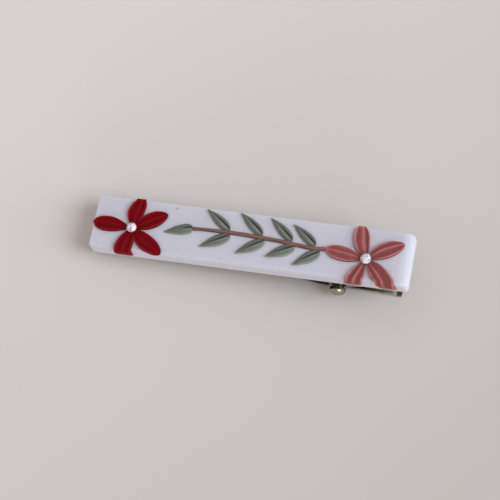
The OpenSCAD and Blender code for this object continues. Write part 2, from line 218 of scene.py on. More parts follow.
# Effects that several materials share; each noise is given as its detail and its roughness
grainLook = dict(cloud=(3.0, 0.6), grain=(5.0, 0.7), pitDepth=0.35)
marksLook = dict(along=2.2, across=11.0, seed=37.0, streak=(4.0, 0.65))
wearLook = dict(cloud=(4.0, 0.62), scratch=(3.0, 0.7), stretch=(0.05, 1.0, 1.0))


def makeClayGrain(look):
    group, given, result = newGroup("clayGrain", ("Grain", "Cloud"), ("Mottle", "Height"))
    cloud = noiseValue(group, scaledCoords(group, given.outputs["Cloud"]), *look["cloud"])
    fineCoords = scaledCoords(group, given.outputs["Grain"])
    grain = noiseValue(group, fineCoords, *look["grain"])
    pits = addNode(group, "ShaderNodeTexVoronoi", Scale=1.0)
    join(group, fineCoords, pits.inputs["Vector"])
    dimple = mathNode(group, "MINIMUM", pits.outputs["Distance"], look["pitDepth"])
    join(group, cloud, result.inputs["Mottle"])
    join(group, mathNode(group, "ADD", grain, dimple), result.inputs["Height"])
    return group


def makeToolMarks(look):
    group, given, result = newGroup("toolMarks", ("Along", "Across", "Seed"), ("Streak",))
    lane = group.nodes.new("ShaderNodeCombineXYZ")
    for label, axis in (("Along", "X"), ("Across", "Y"), ("Seed", "Z")):
        scaled = mathNode(group, "MULTIPLY", given.outputs[label], look[label.lower()])
        join(group, scaled, lane.inputs[axis])
    join(group, noiseValue(group, lane.outputs[0], *look["streak"]), result.inputs["Streak"])
    return group


def makePlateWear(look):
    group, given, result = newGroup("plateWear", ("Cloud", "Scratch"), ("Tarnish", "Scuff", "Height"))
    cloud = noiseValue(group, scaledCoords(group, given.outputs["Cloud"]), *look["cloud"])
    lane = addNode(group, "ShaderNodeMapping", Scale=look["stretch"])
    join(group, scaledCoords(group, given.outputs["Scratch"]), lane.inputs["Vector"])
    scratch = noiseValue(group, lane.outputs[0], *look["scratch"])
    join(group, cloud, result.inputs["Tarnish"])
    join(group, scratch, result.inputs["Scuff"])
    join(group, mathNode(group, "ADD", scratch, cloud), result.inputs["Height"])
    return group


clayGrain = makeClayGrain(grainLook)
toolMarks = makeToolMarks(marksLook)
plateWear = makePlateWear(wearLook)


def newMaterial(name):
    material = bpy.data.materials.new(name)
    material.use_nodes = True
    tree = material.node_tree
    return material, tree, tree.nodes["Principled BSDF"]


def addGrain(tree, look):
    return useGroup(tree, clayGrain, Grain=look["grainScale"], Cloud=look["cloudScale"])


def addBump(tree, shader, height, look):
    node = addNode(tree, "ShaderNodeBump", Strength=look["bump"], Distance=look["bumpDepth"] * mm)
    join(tree, height, node.inputs["Height"])
    join(tree, node.outputs["Normal"], shader.inputs["Normal"])


# White clay with a few stray fibres of dust in it; each speck is a place on the bar's face and a size
# in millimetres, and a colour
whiteClayLook = dict(
    pale=(0.632, 0.638, 0.73), shade=(0.598, 0.604, 0.69), edgeShade=0.91,
    roughness=(0.40, 0.52), shine=0.3, scatter=0.8, scatterReach=(1.0, 0.9, 0.8),
    grainScale=1500.0, cloudScale=210.0, bump=0.12, bumpDepth=0.03,
    wobbleScale=7000.0, wobble=(2.0, 0.5), wobbleShare=1.6,
    specks=(
        ((-14.66, 4.32), 0.22, (0.20, 0.21, 0.23)),
        ((-4.6, -4.34), 0.20, (0.72, 0.36, 0.38)),
        ((-13.1, -3.6), 0.18, (0.45, 0.46, 0.52)),
        ((17.5, 2.66), 0.18, (0.42, 0.43, 0.48)),
    ),
)


def makeWhiteClay(look):
    material, tree, shader = newMaterial("whiteClay")
    grain = addGrain(tree, look)
    colour = mixColour(tree, grain.outputs["Mottle"], look["shade"], look["pale"])
    wobble = noiseValue(tree, scaledCoords(tree, look["wobbleScale"]), *look["wobble"])
    uneven = mathNode(tree, "MULTIPLY", wobble, look["wobbleShare"])
    for (x, y), size, tint in look["specks"]:
        reach = coordsAgainst(tree, "DISTANCE", (x * mm, y * mm, faceZ * mm))
        near = mathNode(tree, "MULTIPLY", reach, uneven)
        share = mathNode(tree, "SUBTRACT", 1.0, mathNode(tree, "DIVIDE", near, size * mm))
        colour = mixColour(tree, mathNode(tree, "MAXIMUM", share, 0.0), colour, tint)
    # Painted shade on the rounded front edge, damping the highlight the lamps put on it
    paintedEdgeShade = tuple(look["edgeShade"] * c for c in look["shade"])
    colour = mixColour(tree, attribute(tree, "frontEdgeShade"), colour, paintedEdgeShade)
    join(tree, colour, shader.inputs["Base Color"])
    join(tree, remap(tree, grain.outputs["Mottle"], *look["roughness"]), shader.inputs["Roughness"])
    shader.inputs["Specular IOR Level"].default_value = look["shine"]
    shader.inputs["Subsurface Weight"].default_value = look["scatter"]
    shader.inputs["Subsurface Radius"].default_value = look["scatterReach"]
    shader.inputs["Subsurface Scale"].default_value = mm
    addBump(tree, shader, grain.outputs["Height"], look)
    return material


# Modelled clay: the valley, body and rim colours give painted shade in the valleys and a painted highlight
# on the rims, set by a level that follows the relief; thin is the colour of a tip or of clay pressed out on
# the white
modelledClayLook = dict(grainScale=1900.0, cloudScale=500.0, mainPlace=0.5, fineShare=0.3, bumpDepth=0.05)
redClayLook = dict(
    modelledClayLook, valleyShade=(0.145, 0.002, 0.005), main=(0.205, 0.0034, 0.008), raised=(0.31, 0.0105, 0.0175),
    thin=(0.6, 0.15, 0.16), streak=0.6, mottle=0.35, roughness=(0.55, 0.68), shine=0.05, bump=0.25,
)
roseClayLook = dict(
    modelledClayLook, valleyShade=(0.225, 0.057, 0.061), main=(0.345, 0.107, 0.112), raised=(0.50, 0.185, 0.19),
    thin=(0.44, 0.19, 0.19), streak=0.5, mottle=0.4, roughness=(0.5, 0.64), shine=0.12, bump=0.3,
)
greenClayLook = dict(
    modelledClayLook, valleyShade=(0.048, 0.053, 0.045), main=(0.15, 0.168, 0.15), raised=(0.28, 0.297, 0.266),
    thin=(0.36, 0.30, 0.225), streak=0.5, mottle=0.3, roughness=(0.5, 0.64), shine=0.2, bump=0.35,
)
brownClayLook = dict(
    modelledClayLook, valleyShade=(0.11, 0.052, 0.044), main=(0.218, 0.117, 0.102), raised=(0.288, 0.162, 0.14),
    thin=(0.3, 0.2, 0.18), streak=0.65, mottle=0.25, roughness=(0.5, 0.64), shine=0.2, bump=0.4,
)


def makeModelledClay(name, look):
    material, tree, shader = newMaterial(name)
    marks = useGroup(
        tree, toolMarks,
        Along=attribute(tree, "along"), Across=attribute(tree, "across"), Seed=attribute(tree, "seed"),
    )
    grain = addGrain(tree, look)
    streak = swing(tree, marks.outputs["Streak"], look["streak"])
    mottle = swing(tree, grain.outputs["Mottle"], look["mottle"])
    # Painted light: the relief level darkens the valleys and lightens the rims
    level = mathNode(tree, "ADD", attribute(tree, "paintedLight"), mathNode(tree, "ADD", streak, mottle))
    ramp = tree.nodes.new("ShaderNodeValToRGB")
    stops = ramp.color_ramp.elements
    stops[0].color = (*look["valleyShade"], 1)
    stops[1].color = (*look["raised"], 1)
    stops.new(look["mainPlace"]).color = (*look["main"], 1)
    join(tree, level, ramp.inputs["Fac"])
    colour = mixColour(tree, attribute(tree, "thin"), ramp.outputs["Color"], look["thin"])
    join(tree, colour, shader.inputs["Base Color"])
    join(tree, remap(tree, marks.outputs["Streak"], *look["roughness"]), shader.inputs["Roughness"])
    shader.inputs["Specular IOR Level"].default_value = look["shine"]
    fine = mathNode(tree, "MULTIPLY", grain.outputs["Height"], look["fineShare"])
    addBump(tree, shader, mathNode(tree, "ADD", marks.outputs["Streak"], fine), look)
    return material


crystalLook = dict(
    dark=(0.30, 0.29, 0.38), bright=(0.84, 0.82, 0.92), roughness=(0.16, 0.06), index=1.56,
    coat=0.6, coatRoughness=0.02,
)


def makeCrystal(look):
    material, tree, shader = newMaterial("foiledCrystal")
    # Painted reflection: each facet's fixed brightness stands in for the light the foil and facets send back
    glint = attribute(tree, "paintedGlint")
    join(tree, mixColour(tree, glint, look["dark"], look["bright"]), shader.inputs["Base Color"])
    join(tree, remap(tree, glint, *look["roughness"]), shader.inputs["Roughness"])
    shader.inputs["IOR"].default_value = look["index"]
    shader.inputs["Coat Weight"].default_value = look["coat"]
    shader.inputs["Coat Roughness"].default_value = look["coatRoughness"]
    return material


platedLook = dict(cloudScale=420.0, scratchScale=2600.0, bump=0.08, bumpDepth=0.02)
nickelLook = dict(
    platedLook, bright=(0.66, 0.62, 0.53), dull=(0.40, 0.36, 0.28), paintedShade=(0.06, 0.052, 0.042),
    roughness=(0.14, 0.30),
)
springLook = dict(
    platedLook, bright=(0.60, 0.585, 0.55), dull=(0.36, 0.34, 0.30), paintedShade=(0.08, 0.075, 0.07),
    roughness=(0.2, 0.36),
)


def makePlated(name, look):
    material, tree, shader = newMaterial(name)
    wear = useGroup(tree, plateWear, Cloud=look["cloudScale"], Scratch=look["scratchScale"])
    plate = mixColour(tree, wear.outputs["Tarnish"], look["bright"], look["dull"])
    # Painted shade under the bar and painted dark reflections, where the mesh's mask asks for them
    join(tree, mixColour(tree, attribute(tree, "paintedShade"), plate, look["paintedShade"]), shader.inputs["Base Color"])
    join(tree, remap(tree, wear.outputs["Scuff"], *look["roughness"]), shader.inputs["Roughness"])
    shader.inputs["Metallic"].default_value = 1.0
    addBump(tree, shader, wear.outputs["Height"], look)
    return material


glueLook = dict(
    clear=(0.80, 0.78, 0.70), cloudy=(0.66, 0.64, 0.57), roughness=(0.15, 0.35),
    grainScale=700.0, cloudScale=350.0, bump=0.2, bumpDepth=0.04,
)


def makeGlue(look):
    material, tree, shader = newMaterial("driedGlue")
    grain = addGrain(tree, look)
    colour = mixColour(tree, grain.outputs["Mottle"], look["cloudy"], look["clear"])
    join(tree, colour, shader.inputs["Base Color"])
    join(tree, remap(tree, grain.outputs["Mottle"], *look["roughness"]), shader.inputs["Roughness"])
    addBump(tree, shader, grain.outputs["Height"], look)
    return material


whiteClay = makeWhiteClay(whiteClayLook)
redClay = makeModelledClay("redClay", redClayLook)
roseClay = makeModelledClay("roseClay", roseClayLook)
greenClay = makeModelledClay("greenClay", greenClayLook)
brownClay = makeModelledClay("brownClay", brownClayLook)
foiledCrystal = makeCrystal(crystalLook)
nickelPlate = makePlated("nickelPlate", nickelLook)
springWire = makePlated("springWire", springLook)
driedGlue = makeGlue(glueLook)
print("materials made", len(bpy.data.materials))


# Mesh helpers

def cutAcross(bm, axis, station):
    bmesh.ops.bisect_plane(
        bm, geom=bm.verts[:] + bm.edges[:] + bm.faces[:], dist=cutSnap,
        plane_co=Vector(axis) * station, plane_no=axis,
    )


def onlyKind(geometry, kind):
    return [g for g in geometry if isinstance(g, kind)]


# A finished bmesh becomes a piece of the object
def makePiece(name, bm, material, sharpAngle=None):
    bmesh.ops.scale(bm, vec=(mm, mm, mm), verts=bm.verts)
    mesh = bpy.data.meshes.new(name)
    bm.to_mesh(mesh)
    bm.free()
    mesh.shade_smooth()
    if sharpAngle is not None:
        mesh.set_sharp_from_angle(angle=math.radians(sharpAngle))
    mesh.materials.append(material)
    piece = bpy.data.objects.new(name, mesh)
    bpy.context.scene.collection.objects.link(piece)
    return piece


def placePiece(piece, body, slot, *nodes):
    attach(piece, body)
    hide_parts(*nodes)
    return piece


# Clay bar: crisp at the jaw's end, rounded over at the lever's end; bendMark and frontMark say how sharply
# the rounded front edge is picked out for painted shade
barLook = dict(
    cornerRadius=0.8, tipRadius=0.3, endRadius=1.3, endRun=2.3, edgeRadius=0.4, backRadius=0.12,
    arcCuts=5, backCuts=3, lengthStep=1.2, widthStep=0.9, waviness=0.035, waveLength=9.0,
    bendMark=4.0, frontMark=2.0,
)


def roundCorner(a, b, edgeA, edgeB, radius, run=None):
    run = run or radius
    u = (a - (edgeA - run)) / run  # square corner to quarter ellipse
    v = (b - (edgeB - radius)) / radius
    if u <= 0 or v <= 0:
        return a, b
    pull = max(u, v) / math.hypot(u, v)
    return edgeA - run + run * u * pull, edgeB - radius + radius * v * pull


def arcStations(edge, radius, cuts):
    return [edge - radius + radius * math.tan(math.radians(45) * k / cuts) for k in range(cuts)]


def evenStations(reach, step):
    count = math.ceil(2 * reach / step)
    return [-reach + 2 * reach * k / count for k in range(count + 1)]


def softenBar(co, look):
    x, y, z = co
    signX, signY = math.copysign(1, x), math.copysign(1, y)
    x, y = abs(x), abs(y)
    y, z = roundCorner(y, z, halfWidth, faceZ, look["edgeRadius"])
    y, down = roundCorner(y, -z, halfWidth, -barLow.z, look["backRadius"])
    z = -down
    x, y = roundCorner(x, y, halfLength, halfWidth, look["cornerRadius"])
    if signX > 0:
        x, z = roundCorner(x, z, halfLength, faceZ, look["endRadius"], look["endRun"])
    else:
        x, z = roundCorner(x, z, halfLength, faceZ, look["tipRadius"])
    x, down = roundCorner(x, -z, halfLength, -barLow.z, look["backRadius"])
    return Vector((signX * x, signY * y, -down))


def makeBar(look):
    bm = bmesh.new()
    cuts = look["arcCuts"]
    block = Matrix.Translation((barLow + barHigh) / 2) @ Matrix.Diagonal((*(barHigh - barLow), 1))
    bmesh.ops.create_cube(bm, size=1, matrix=block)
    endCuts = [x for key in ("endRun", "tipRadius", "cornerRadius", "backRadius")
               for x in arcStations(halfLength, look[key], cuts)]
    sideCuts = [y for key in ("edgeRadius", "cornerRadius", "backRadius")
                for y in arcStations(halfWidth, look[key], cuts)]
    topCuts = [z for key in ("endRadius", "tipRadius", "edgeRadius")
               for z in arcStations(faceZ, look[key], cuts)]
    backCuts = [-z for z in arcStations(-barLow.z, look["backRadius"], look["backCuts"])]
    places = {
        (1, 0, 0): [s * x for x in endCuts for s in (1, -1)]
        + evenStations(halfLength - look["endRun"], look["lengthStep"]),
        (0, 1, 0): [s * y for y in sideCuts for s in (1, -1)]
        + evenStations(halfWidth - look["cornerRadius"], look["widthStep"]),
        (0, 0, 1): topCuts + backCuts,
    }
    for axis, stations in places.items():
        for station in stations:
            cutAcross(bm, axis, station)
    for v in bm.verts:
        v.co = softenBar(v.co, look)
    bm.normal_update()
    # Mask for the painted shade: the rounding of the front edge, which faces both up and forward
    frontEdgeShade = bm.verts.layers.float.new("frontEdgeShade")
    for v in bm.verts:
        bend = clampUnit(-look["bendMark"] * v.normal.y * v.normal.z)
        v[frontEdgeShade] = bend * clampUnit(-look["frontMark"] * v.normal.y)
        rise = clampUnit((v.co.z - barLow.z) / (faceZ - barLow.z))  # the glued back stays flat
        v.co += v.normal * look["waviness"] * rise * noise.noise(v.co / look["waveLength"])
    return makePiece("clayBar", bm, whiteClay)


placePiece(makeBar(barLook), upperBody, "white_clay", "clay_bar")
print("bar made")


# Where the bar's surface lies under a point of its plan
def faceFall(reach, edge, radius, run):
    past = min(1.0, max(0.0, abs(reach) - (edge - run)) / run)
    return radius * (1 - math.sqrt(1 - past * past))


def surfaceZ(x, y):
    radius, run = (barLook["endRadius"], barLook["endRun"]) if x > 0 else (barLook["tipRadius"],) * 2
    edge = barLook["edgeRadius"]
    return faceZ - faceFall(x, halfLength, radius, run) - faceFall(y, halfWidth, edge, edge)


def swell(t, basePower, tipPower):
    widest = basePower / (basePower + tipPower)
    return (t / widest) ** basePower * ((1 - t) / (1 - widest)) ** tipPower


# A closed skin over the bar: place(u, s) gives a foot point, an outward way, a height and the tone values
toneLabels = ("along", "across", "paintedLight", "seed", "thin")


def makeSkin(name, material, place, cutsAlong, cutsAcross, seed):
    bm = bmesh.new()
    layers = {label: bm.verts.layers.float.new(label) for label in toneLabels}
    for lifted in (1, 0):
        made = bmesh.ops.create_grid(bm, x_segments=cutsAlong, y_segments=cutsAcross, size=1)
        for v in made["verts"]:
            u, s = (v.co.x + 1) / 2, math.sin(v.co.y * math.pi / 2)
            spot = dict(place(u, s), across=s, seed=seed)
            v.co = spot["foot"] + spot["way"] * spot["height"] * lifted
            for label in toneLabels:
                v[layers[label]] = spot[label]
        if not lifted:
            bmesh.ops.reverse_faces(bm, faces=list({f for v in made["verts"] for f in v.link_faces}))
    bmesh.ops.remove_doubles(bm, verts=bm.verts, dist=skinGap)
    bmesh.ops.recalc_face_normals(bm, faces=bm.faces)
    return makePiece(name, bm, material)


# Petals: one that crosses a long edge of the bar turns down the bar's side
petalLook = dict(
    length=7.4, width=3.0, base=0.4, rim=0.6, lift=0.03, cutsAlong=84, cutsAcross=48,
    evenFullness=0.85, tipPower=0.6, tipGain=0.4, bowPower=0.75, leanStart=0.4, leanRun=0.45,  # outline
    seatShare=0.6, seatEnd=0.09, tipShare=0.65, riseRun=0.3,  # height along the petal
    rimPlace=0.93, rimReach=0.17, rimThickness=0.08, ridgeReach=0.15,  # height across it
    trimLimit=0.97, squareEnd=0.3, foldDrift=0.44, mitre=0.12,  # fold over the edge
    fall=2.3, fallTop=0.7, fallFoot=0.45, footPower=8, footCorner=0.16,  # length on the side
    roundingLead=0.2, tipClose=0.14, tipCloseShare=0.55, footCloseStart=0.45, footClose=0.4,  # end
    backThin=0.55, backThinLead=0.5, backCloseLead=0.1, backClose=0.4,  # pressed over the back edge
    # Painted shade towards the petal's base, among the other petals and the stone; a paler colour where the
    # foot is pressed thin
    baseShade=0.35, baseShadeRun=0.35, footThin=0.7, footThinStart=0.35, footThinRun=0.6,  # colour
    unevenness=0.04, unevenScale=(1.3, 4.0, 90.0),
)
# Laid by hand, so each petal has its own turn, size, width, fullness at its base, sideways bow and lean in
# millimetres, and place of its ridge; some also have a broad ridge, a relief of their valleys, a rounding
# of the end, or a drift of their foot's left and right corner
redFlower = dict(
    name="redPetal", node="red_petal", slot="red_clay", material=redClay, middle=redMiddle,
    ridge=0.86, valley=0.68,
    petals=(
        dict(turn=85.5, size=0.865, width=1.02, fullness=0.7, bow=0.13, lean=-0.3, ridge=-0.1,
             broad=2, rounding=0.3),
        dict(turn=28.5, size=0.975, width=1.02, fullness=0.72, bow=0.02, lean=0.06, ridge=0.1),
        dict(turn=-35, size=1.04, width=1.02, fullness=0.7, bow=-0.2, lean=0.1, ridge=-0.15),
        dict(turn=-101, size=1, width=1.08, fullness=0.7, bow=-0.14, lean=0.14, ridge=0.05,
             broad=1.6, foot=(-0.1, 0.12)),
        dict(turn=176, size=1.015, width=0.98, fullness=0.9, bow=0.0, lean=0.1, ridge=-0.1),
    ),
)
roseFlower = dict(
    name="rosePetal", node="rose_petal", slot="rose_clay", material=roseClay, middle=roseMiddle,
    ridge=0.92, valley=0.6,
    petals=(
        dict(turn=107, size=0.94, width=0.98, fullness=0.72, bow=0.3, lean=-0.2, ridge=-0.2,
             broad=2.2, rounding=0.6),
        dict(turn=30, size=1.014, width=1.0, fullness=0.7, bow=0.2, lean=0.0, ridge=0.2, relief=0.95),
        dict(turn=-43, size=0.97, width=1.0, fullness=0.72, bow=0.1, lean=-0.25, ridge=-0.26,
             foot=(1.15, 0.5)),
        dict(turn=-109, size=1, width=0.94, fullness=0.82, bow=-0.16, lean=-0.6, ridge=0.0,
             broad=1.4, foot=(-0.55, -0.2)),
        dict(turn=171.5, size=1.036, width=0.93, fullness=0.85, bow=0.14, lean=0.1, ridge=-0.14, relief=0.85),
    ),
)


def petalRise(t, look):
    tip = 1 - (1 - look["tipShare"]) * smooth((t - 1) / look["riseRun"] + 1)
    seat = look["seatShare"] + (1 - look["seatShare"]) * smooth((t - look["seatEnd"]) / look["riseRun"])
    return look["rim"] * tip * seat


def petalProfile(s, look, flower, petal):
    ridgePlace = petal["ridge"]
    side = math.copysign(1, s - ridgePlace)
    a = (s - ridgePlace) * side / (1 - ridgePlace * side)
    rim, valley = look["rimPlace"], flower["valley"]
    if a >= rim:
        return math.sqrt(max(0.0, 1 - ((a - rim) / (1 - rim)) ** 2))
    rimShare = hump(rim - a, look["rimReach"])
    ridgeShare = hump(a, look["ridgeReach"] * petal.get("broad", 1))
    flat = valley + (1 - valley) * rimShare + (flower["ridge"] - valley) * ridgeShare
    return 1 - (1 - flat) * petal.get("relief", 1)


def makePetal(flower, number, petal, look):
    seed = random.Random(flower["name"] + str(number)).random()
    middle = Vector((flower["middle"].x, flower["middle"].y, 0))
    ahead, squareAcross = turned(petal["turn"]), turned(petal["turn"] + 90)
    run = look["length"] * petal["size"] - look["base"]
    side = math.copysign(1, ahead.y)
    radius = barLook["edgeRadius"]
    edgeT = ((halfWidth - side * middle.y) / abs(ahead.y) - look["base"]) / run
    trimmed = edgeT < look["trimLimit"]
    bendT = edgeT - radius / abs(ahead.y) / run  # where the bar's face begins to round over
    edgeAcross = Vector((-1 / ahead.y, 0, 0))
    bendRun, sideRun = math.pi / 2 * radius, look["fall"] - radius
    faceRun = bendT * run if trimmed else run
    wholeRun = faceRun + bendRun + sideRun if trimmed else run
    tipPower = look["tipPower"] + look["tipGain"] * (look["evenFullness"] - petal["fullness"])
    drifts = petal.get("foot", (0, 0))

    def place(u, s):
        gone = u * wholeRun if trimmed else run * (1 - math.cos(math.pi * u)) / 2
        past = gone - faceRun
        t = min(gone, faceRun) / run
        bend = clampUnit(past / bendRun)
        down = clampUnit((past - bendRun) / sideRun)

        def overEdge(lead):
            return smooth((past + lead) / (bendRun + lead))

        half = look["width"] / 2 * petal["width"] * swell(t, petal["fullness"], tipPower)
        half *= 1 - petal.get("rounding", 0) * overEdge(look["roundingLead"]) ** 2
        shift = petal["bow"] * math.sin(math.pi * t ** look["bowPower"])
        shift += petal["lean"] * smooth((t - look["leanStart"]) / look["leanRun"])
        across = squareAcross
        if trimmed:
            square = look["squareEnd"]
            across = squareAcross.lerp(edgeAcross, smooth((t / bendT - square) / (1 - square)))
        foot = middle + ahead * (look["base"] + t * run) + across * (half * s + shift)
        foot.z = surfaceZ(foot.x, foot.y) + look["lift"]
        way = Vector((0, side * math.sin(bend * math.pi / 2), math.cos(bend * math.pi / 2)))
        if bend > 0:
            foot.x += mix(*drifts, (s + 1) / 2) * mix(look["foldDrift"] * bend, 1, down)
            foot.y = side * (halfWidth - radius)
            foot.z = faceZ - radius - sideRun * down * (1 - look["footCorner"] * s ** 4)
            foot += way * (radius + look["lift"])

        tall = petalRise(t, look) * mix(1, look["fallTop"], smooth(bend)) * mix(1, look["fallFoot"], down)
        tall *= math.sqrt(1 - down ** look["footPower"])
        if not trimmed:
            closing = look["tipCloseShare"] * smooth((t - 1) / look["tipClose"] + 1)
        elif side > 0:  # pressed thin where it passes over the back edge
            closing = smooth((past + look["backCloseLead"]) / look["backClose"])
            tall *= mix(1, look["backThin"], overEdge(look["backThinLead"]))
        else:
            closing = smooth((down - look["footCloseStart"]) / look["footClose"])
            tall *= 1 + look["mitre"] * math.sin(math.pi * bend)
        profile = petalProfile(s, look, flower, petal)
        edge = 1 - math.exp(-((1 - abs(s)) / look["rimThickness"]))
        profile = mix(profile, max(profile, edge), closing)  # the rim goes round the end
        uneven = 1 + look["unevenness"] * noise.noise(Vector((gone, s, seed)) * Vector(look["unevenScale"]))
        # Painted light from the relief: painted shade in the valleys and a painted highlight on the rims,
        # with more painted shade towards the base
        paintedLight = clampUnit((profile - flower["valley"]) / (1 - flower["valley"]))
        return dict(
            foot=foot, way=way, height=tall * profile * uneven, along=gone / run,
            paintedLight=paintedLight * mix(look["baseShade"], 1, smooth(t / look["baseShadeRun"])),
            thin=look["footThin"] * smooth((down - look["footThinStart"]) / look["footThinRun"]),
        )

    name = f"{flower['name']}{number}"
    piece = makeSkin(name, flower["material"], place, look["cutsAlong"], look["cutsAcross"], seed)
    return placePiece(piece, upperBody, flower["slot"], f"{flower['node']}_{number}")


for flower in (redFlower, roseFlower):
    for number, petal in enumerate(flower["petals"], 1):
        makePetal(flower, number, petal, petalLook)
print("petals made")


# Stem: drifts are sideways steps along it, from the tip leaf to the last rose petal
stemLook = dict(
    start=11.5, tipRise=1.35, rootRise=0.73, bow=0.34, sway=0.06, hookShare=0.08, hookRise=0.15, gap=0.05,
    width=0.75, height=0.5, lift=0.03, thinEnd=0.8, fullWidth=1.06, thinRun=0.35,
    knob=0.3, tipKnobRun=0.7, rootKnobRun=0.6, rootKnobShare=0.5, closeRun=0.15, closeLeast=0.02,  # ends
    drifts=((0, 0.08), (0.1, 0.13), (0.65, 0.12), (0.8, 0.0), (0.88, -0.06), (1, 0.05)),
    furrowAlong=9, furrowAcross=4.5, furrowTwist=3, furrowSeed=4.0, furrowDepth=0.2,
    # The colour values paint light: lighter along the strand's top, painted shade in its furrows and along
    # its front side
    paintedLight=0.55, furrowShading=0.7, frontShade=0.35, streakRun=8, streakSeed=0.4,  # colour
    cutsAlong=160, cutsAcross=20,
)
stemPetal = roseFlower["petals"][-1]
roseTip = roseMiddle + turned(stemPetal["turn"]) * petalLook["length"] * stemPetal["size"]
stemTip = Vector((redMiddle.x + stemLook["start"], redMiddle.y + stemLook["tipRise"], 0))
stemRoot = Vector((roseTip.x - stemLook["gap"], roseMiddle.y + stemLook["rootRise"], 0))


def onStem(u):
    wave = stemLook["bow"] * math.sin(math.pi * u) + stemLook["sway"] * math.sin(2 * math.pi * u)
    hook = stemLook["hookRise"] * smooth((u - 1) / stemLook["hookShare"] + 1)
    return stemTip.lerp(stemRoot, u) + Vector((0, wave + hook, 0))


def makeStem(look):
    length = (stemRoot - stemTip).length

    def place(u, s):
        fromTip, fromRoot = u * length, (1 - u) * length
        knobs = hump(fromTip, look["tipKnobRun"])
        knobs += look["rootKnobShare"] * hump(fromRoot, look["rootKnobRun"])
        closing = math.sqrt(clampUnit(min(fromTip, fromRoot) / look["closeRun"]))
        half = look["width"] / 2 * (1 + look["knob"] * knobs) * max(closing, look["closeLeast"])
        half *= mix(look["thinEnd"], look["fullWidth"], smooth(u / look["thinRun"]))
        foot = onStem(u) + Vector((0, half * s + between(look["drifts"], u), 0))
        foot.z = surfaceZ(foot.x, foot.y) + look["lift"]
        lane = s * look["furrowAcross"] + u * look["furrowTwist"]
        furrow = noise.noise(Vector((u * look["furrowAlong"], lane, look["furrowSeed"])))
        arch = look["height"] * math.sqrt(max(0.0, 1 - s * s)) * closing
        # Painted light: lighter where the strand is higher, painted shade in its furrows and along its front
        # side
        paintedLight = look["paintedLight"] + look["furrowShading"] * furrow - look["frontShade"] * smooth(-s)
        return dict(
            foot=foot, way=Vector((0, 0, 1)), height=arch * (1 + look["furrowDepth"] * furrow),
            paintedLight=clampUnit(paintedLight), along=u * look["streakRun"], thin=0.0,
        )

    piece = makeSkin(
        "stem.strand", brownClay, place, look["cutsAlong"], look["cutsAcross"], look["streakSeed"],
    )
    return placePiece(piece, upperBody, "brown_clay", "stem")


makeStem(stemLook)


# Leaves: a crease with a ridge beside it, painted shade in the crease, painted highlights on the ridge and on
# the outline, and an outline that goes pale towards the tip
leafLook = dict(
    length=5.9, width=2.0, height=0.55, endShare=0.6, lift=0.03, swell=(0.55, 1.05), lobePower=3,
    creasePlace=-0.2, creaseWidth=0.2, creaseDepth=0.6, creaseEnd=1.05, leanReach=0.06,
    ridgeGap=0.36, ridgeWidth=0.2, outlineStart=0.7, outlineRun=0.25,
    # Painted light and shade: highlights on the outline and the ridge, shade in the crease
    paintedLight=0.42, outlineHighlight=0.34, ridgeHighlight=0.5, creaseShade=0.75,  # light and dark
    tipThin=0.75, tipThinRun=0.12, outlineThin=0.45, outlineThinStart=0.3, outlineThinRun=0.5,  # pale parts
    unevenness=0.05, unevenScale=(7.0, 3.0, 70.0), cutsAlong=48, cutsAcross=40,
)
# Station is the place along the stem, turn is in degrees and shift is sideways in millimetres
tipLeaf = dict(turn=195.5, size=0.925, width=1.05, shift=-0.16, creaseEnd=0.5, swell=(0.36, 1.0))
upperRow = dict(
    name="upper", side=1, width=0.97, swellShare=0.06,
    leaves=(
        dict(station=0.272, turn=144, size=1.03, shift=-0.06),
        dict(station=0.518, turn=141, size=1.03, shift=-0.13),
        dict(station=0.745, turn=140, size=1.03, shift=-0.12),
        dict(station=0.923, turn=143, size=1.0, shift=-0.04),
    ),
)
lowerRow = dict(
    name="lower", side=-1, width=1.08, swellShare=0.18,
    leaves=(
        dict(station=0.291, turn=208, size=1.04, shift=-0.32),
        dict(station=0.554, turn=211.5, size=1.0, shift=-0.44),
        dict(station=0.783, turn=207, size=1.0, shift=-0.45),
        dict(station=0.969, turn=214.5, size=0.97, shift=-0.26),
    ),
)


